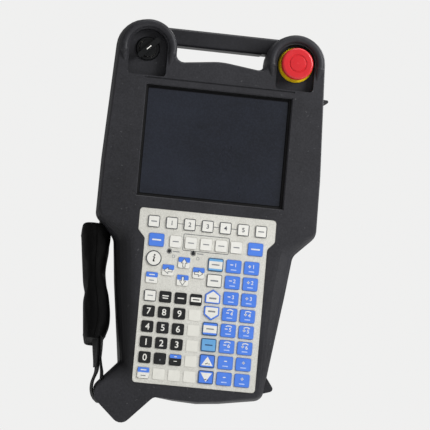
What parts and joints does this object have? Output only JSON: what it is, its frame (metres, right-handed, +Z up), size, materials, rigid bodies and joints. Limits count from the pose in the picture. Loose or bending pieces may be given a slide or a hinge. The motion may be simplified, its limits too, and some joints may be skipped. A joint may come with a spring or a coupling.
{
  "type": "teach pendant",
  "caption": "Hand-held robot teach pendant with a touch display, key field, mushroom stop, mode selector, guarded lobes, carrying bar, enabling levers and hand strap",
  "frame": {"origin": "middle of the underside of the carrying bar between the two lobes, where the pendant hangs on its hook", "axes": "+Z up, front face with display and keys towards -Y, +X to the right as seen by the user"},
  "size_m": [0.2152, 0.0661, 0.3668],
  "materials": {
    "housing_plastic": "fine moulded texture, satin",
    "seal_rubber": "moulded rubber, matt",
    "screw_steel": "zinc plated steel",
    "display_glass": "glossy touch glass over a dark screen",
    "module_plastic": "plain moulded plastic",
    "circuit_board": "green solder resist",
    "overlay_film": "fine-grained membrane film",
    "lamp_lens": "smoked lens",
    "white_keys": "printed key cap, satin",
    "black_keys": "printed key cap, satin",
    "blue_keys": "printed key cap, satin",
    "light_blue_keys": "printed key cap, satin",
    "stop_red": "smooth moulded plastic",
    "stop_yellow": "smooth moulded plastic",
    "contact_block": "plain moulded plastic",
    "control_black": "satin moulded plastic",
    "lever_plastic": "satin moulded plastic",
    "webbing": "woven polyester webbing",
    "sleeve_fabric": "padded woven cover with a sewn seam"
  },
  "bodies": {
    "housing": {"front_housing": "housing_plastic", "rear_housing": "housing_plastic", "housing_gasket": "seal_rubber", "housing_screws": "screw_steel", "carry_handle": "housing_plastic", "display_window": "display_glass", "display_gasket": "seal_rubber", "display_module": "module_plastic", "main_board": "circuit_board", "keypad_overlay": "overlay_film", "keypad_board": "circuit_board", "indicator_lenses": "lamp_lens", "estop_collar": "stop_yellow", "estop_body": "contact_block", "panel_nuts": "module_plastic", "selector_bezel": "control_black", "selector_body": "contact_block", "enable_pins": "screw_steel", "enable_switches": "module_plastic", "usb_socket": "screw_steel", "cable_inlet": "control_black", "strap_belt": "webbing", "strap_sleeve": "sleeve_fabric"},
    "soft_keys": {"soft_keys": "white_keys"},
    "menu_keys": {"menu_keys": "white_keys"},
    "cursor_keys": {"cursor_keys": "white_keys"},
    "number_keys": {"number_keys": "black_keys"},
    "help_keys": {"help_keys": "white_keys"},
    "shift_key_left": {"shift_key_left": "blue_keys"},
    "shift_key_right": {"shift_key_right": "blue_keys"},
    "step_key": {"step_key": "light_blue_keys"},
    "hold_key": {"hold_key": "white_keys"},
    "forward_key": {"forward_key": "blue_keys"},
    "backward_key": {"backward_key": "blue_keys"},
    "coord_key": {"coord_key": "light_blue_keys"},
    "group_key": {"group_key": "light_blue_keys"},
    "speed_up_key": {"speed_up_key": "blue_keys"},
    "speed_down_key": {"speed_down_key": "blue_keys"},
    "jog_minus_1": {"jog_minus_1": "blue_keys"},
    "jog_minus_2": {"jog_minus_2": "blue_keys"},
    "jog_minus_3": {"jog_minus_3": "blue_keys"},
    "jog_minus_4": {"jog_minus_4": "blue_keys"},
    "jog_minus_5": {"jog_minus_5": "blue_keys"},
    "jog_minus_6": {"jog_minus_6": "blue_keys"},
    "jog_minus_7": {"jog_minus_7": "blue_keys"},
    "jog_minus_8": {"jog_minus_8": "blue_keys"},
    "jog_plus_1": {"jog_plus_1": "blue_keys"},
    "jog_plus_2": {"jog_plus_2": "blue_keys"},
    "jog_plus_3": {"jog_plus_3": "blue_keys"},
    "jog_plus_4": {"jog_plus_4": "blue_keys"},
    "jog_plus_5": {"jog_plus_5": "blue_keys"},
    "jog_plus_6": {"jog_plus_6": "blue_keys"},
    "jog_plus_7": {"jog_plus_7": "blue_keys"},
    "jog_plus_8": {"jog_plus_8": "blue_keys"},
    "estop_push": {"estop_stem": "screw_steel"},
    "estop_turn": {"estop_head": "stop_red"},
    "selector": {"selector_knob": "control_black"},
    "enable_left": {"enable_lever_left": "lever_plastic"},
    "enable_right": {"enable_lever_right": "lever_plastic"},
    "usb_flap": {"usb_cover": "seal_rubber"}
  },
  "joints": [
    {"name": "estop_press", "type": "slide", "parent": "housing", "child": "estop_push", "axis": [0, 1, 0], "range_m": [0, 0.004], "stiffness_N_per_m": 4000},
    {"name": "estop_release_turn", "type": "hinge", "parent": "estop_push", "child": "estop_turn", "pos_m": [0.0686, -0.035, -0.0091], "axis": [0, 1, 0], "range_deg": [0, 45], "stiffness_Nm_per_rad": 0.15},
    {"name": "selector_turn", "type": "hinge", "parent": "housing", "child": "selector", "pos_m": [-0.068, -0.0275, -0.0085], "axis": [0, -1, 0], "range_deg": [0, 90]},
    {"name": "enable_left_squeeze", "type": "hinge", "parent": "housing", "child": "enable_left", "pos_m": [-0.047, 0.007, -0.1955], "axis": [-1, 0, 0], "range_deg": [0, 5], "stiffness_Nm_per_rad": 7.5},
    {"name": "enable_right_squeeze", "type": "hinge", "parent": "housing", "child": "enable_right", "pos_m": [0.047, 0.007, -0.1955], "axis": [-1, 0, 0], "range_deg": [0, 5], "stiffness_Nm_per_rad": 7.5},
    {"name": "usb_flap_hinge", "type": "hinge", "parent": "housing", "child": "usb_flap", "pos_m": [0.09695, -0.0115, -0.0627], "axis": [0, 1, 0], "range_deg": [0, 95]},
    {"name": "soft_keys_press", "type": "slide", "parent": "housing", "child": "soft_keys", "axis": [0, 1, 0], "range_m": [0, 0.0007], "stiffness_N_per_m": 17500},
    {"name": "menu_keys_press", "type": "slide", "parent": "housing", "child": "menu_keys", "axis": [0, 1, 0], "range_m": [0, 0.0007], "stiffness_N_per_m": 12500},
    {"name": "cursor_keys_press", "type": "slide", "parent": "housing", "child": "cursor_keys", "axis": [0, 1, 0], "range_m": [0, 0.0007], "stiffness_N_per_m": 10000},
    {"name": "number_keys_press", "type": "slide", "parent": "housing", "child": "number_keys", "axis": [0, 1, 0], "range_m": [0, 0.0007], "stiffness_N_per_m": 40000},
    {"name": "help_keys_press", "type": "slide", "parent": "housing", "child": "help_keys", "axis": [0, 1, 0], "range_m": [0, 0.0007], "stiffness_N_per_m": 7500},
    {"name": "shift_key_left_press", "type": "slide", "parent": "housing", "child": "shift_key_left", "axis": [0, 1, 0], "range_m": [0, 0.0007], "stiffness_N_per_m": 2500},
    {"name": "shift_key_right_press", "type": "slide", "parent": "housing", "child": "shift_key_right", "axis": [0, 1, 0], "range_m": [0, 0.0007], "stiffness_N_per_m": 2500},
    {"name": "step_key_press", "type": "slide", "parent": "housing", "child": "step_key", "axis": [0, 1, 0], "range_m": [0, 0.0007], "stiffness_N_per_m": 2500},
    {"name": "hold_key_press", "type": "slide", "parent": "housing", "child": "hold_key", "axis": [0, 1, 0], "range_m": [0, 0.0007], "stiffness_N_per_m": 2500},
    {"name": "forward_key_press", "type": "slide", "parent": "housing", "child": "forward_key", "axis": [0, 1, 0], "range_m": [0, 0.0007], "stiffness_N_per_m": 2500},
    {"name": "backward_key_press", "type": "slide", "parent": "housing", "child": "backward_key", "axis": [0, 1, 0], "range_m": [0, 0.0007], "stiffness_N_per_m": 2500},
    {"name": "coord_key_press", "type": "slide", "parent": "housing", "child": "coord_key", "axis": [0, 1, 0], "range_m": [0, 0.0007], "stiffness_N_per_m": 2500},
    {"name": "group_key_press", "type": "slide", "parent": "housing", "child": "group_key", "axis": [0, 1, 0], "range_m": [0, 0.0007], "stiffness_N_per_m": 2500},
    {"name": "speed_up_key_press", "type": "slide", "parent": "housing", "child": "speed_up_key", "axis": [0, 1, 0], "range_m": [0, 0.0007], "stiffness_N_per_m": 2500},
    {"name": "speed_down_key_press", "type": "slide", "parent": "housing", "child": "speed_down_key", "axis": [0, 1, 0], "range_m": [0, 0.0007], "stiffness_N_per_m": 2500},
    {"name": "jog_minus_1_press", "type": "slide", "parent": "housing", "child": "jog_minus_1", "axis": [0, 1, 0], "range_m": [0, 0.0007], "stiffness_N_per_m": 2500},
    {"name": "jog_minus_2_press", "type": "slide", "parent": "housing", "child": "jog_minus_2", "axis": [0, 1, 0], "range_m": [0, 0.0007], "stiffness_N_per_m": 2500},
    {"name": "jog_minus_3_press", "type": "slide", "parent": "housing", "child": "jog_minus_3", "axis": [0, 1, 0], "range_m": [0, 0.0007], "stiffness_N_per_m": 2500},
    {"name": "jog_minus_4_press", "type": "slide", "parent": "housing", "child": "jog_minus_4", "axis": [0, 1, 0], "range_m": [0, 0.0007], "stiffness_N_per_m": 2500},
    {"name": "jog_minus_5_press", "type": "slide", "parent": "housing", "child": "jog_minus_5", "axis": [0, 1, 0], "range_m": [0, 0.0007], "stiffness_N_per_m": 2500},
    {"name": "jog_minus_6_press", "type": "slide", "parent": "housing", "child": "jog_minus_6", "axis": [0, 1, 0], "range_m": [0, 0.0007], "stiffness_N_per_m": 2500},
    {"name": "jog_minus_7_press", "type": "slide", "parent": "housing", "child": "jog_minus_7", "axis": [0, 1, 0], "range_m": [0, 0.0007], "stiffness_N_per_m": 2500},
    {"name": "jog_minus_8_press", "type": "slide", "parent": "housing", "child": "jog_minus_8", "axis": [0, 1, 0], "range_m": [0, 0.0007], "stiffness_N_per_m": 2500},
    {"name": "jog_plus_1_press", "type": "slide", "parent": "housing", "child": "jog_plus_1", "axis": [0, 1, 0], "range_m": [0, 0.0007], "stiffness_N_per_m": 2500},
    {"name": "jog_plus_2_press", "type": "slide", "parent": "housing", "child": "jog_plus_2", "axis": [0, 1, 0], "range_m": [0, 0.0007], "stiffness_N_per_m": 2500},
    {"name": "jog_plus_3_press", "type": "slide", "parent": "housing", "child": "jog_plus_3", "axis": [0, 1, 0], "range_m": [0, 0.0007], "stiffness_N_per_m": 2500},
    {"name": "jog_plus_4_press", "type": "slide", "parent": "housing", "child": "jog_plus_4", "axis": [0, 1, 0], "range_m": [0, 0.0007], "stiffness_N_per_m": 2500},
    {"name": "jog_plus_5_press", "type": "slide", "parent": "housing", "child": "jog_plus_5", "axis": [0, 1, 0], "range_m": [0, 0.0007], "stiffness_N_per_m": 2500},
    {"name": "jog_plus_6_press", "type": "slide", "parent": "housing", "child": "jog_plus_6", "axis": [0, 1, 0], "range_m": [0, 0.0007], "stiffness_N_per_m": 2500},
    {"name": "jog_plus_7_press", "type": "slide", "parent": "housing", "child": "jog_plus_7", "axis": [0, 1, 0], "range_m": [0, 0.0007], "stiffness_N_per_m": 2500},
    {"name": "jog_plus_8_press", "type": "slide", "parent": "housing", "child": "jog_plus_8", "axis": [0, 1, 0], "range_m": [0, 0.0007], "stiffness_N_per_m": 2500}
  ]
}
